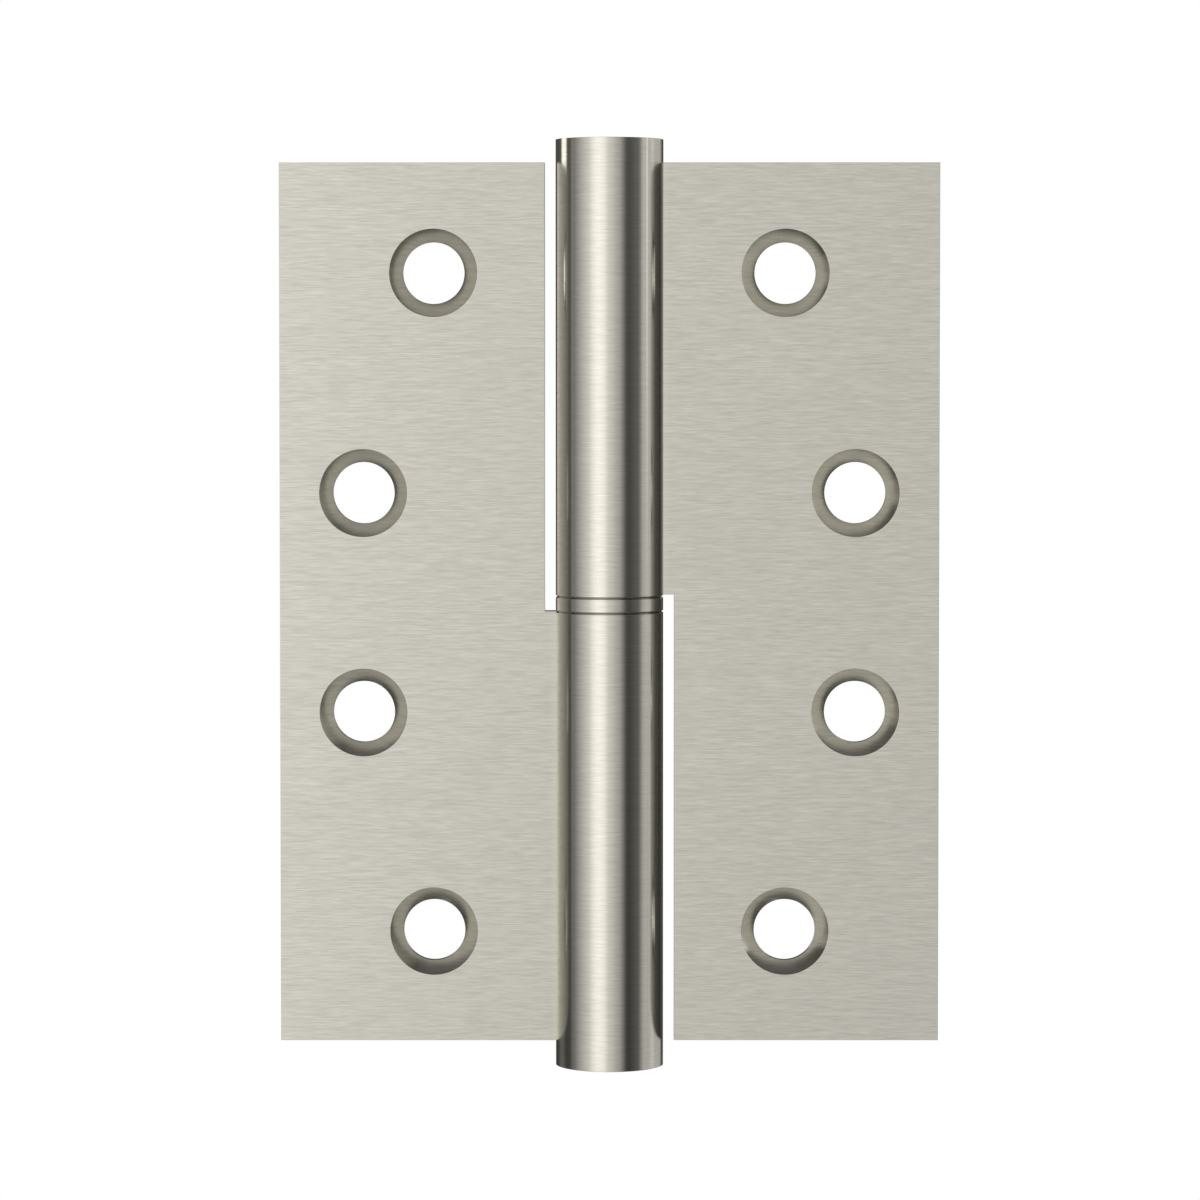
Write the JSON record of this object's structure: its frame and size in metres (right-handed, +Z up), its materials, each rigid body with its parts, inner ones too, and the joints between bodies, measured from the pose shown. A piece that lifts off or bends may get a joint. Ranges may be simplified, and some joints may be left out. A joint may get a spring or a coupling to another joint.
{
  "type": "lift-off hinge",
  "caption": "Lift-off door hinge with two square-cornered, countersunk leaves, a plain round barrel and a washer on a fixed pin, so that the door lifts straight off.",
  "frame": {"origin": "on the pin's axis, midway between the barrel's two free ends", "axes": "+Z up the pin, the way the door half lifts off; +X from the frame leaf to the door leaf, open flat; +Y from the countersunk faces to the leaves' backs"},
  "size_m": [0.075, 0.0122, 0.105],
  "materials": {
    "satin_nickel": "brushed satin nickel plate on steel",
    "bright_steel": "ground bright steel"
  },
  "bodies": {
    "frame": {"frame_half": "satin_nickel", "hinge_pin": "bright_steel"},
    "washer": {"bearing_washer": "satin_nickel"},
    "door": {"door_half": "satin_nickel"}
  },
  "joints": [
    {"name": "swing", "type": "hinge", "parent": "frame", "child": "washer", "pos_m": [0, 0, 0], "axis": [0, 0, 1], "range_deg": [-180, 120]},
    {"name": "lift_off", "type": "slide", "parent": "washer", "child": "door", "axis": [0, 0, 1], "range_m": [0, 0.05]}
  ]
}
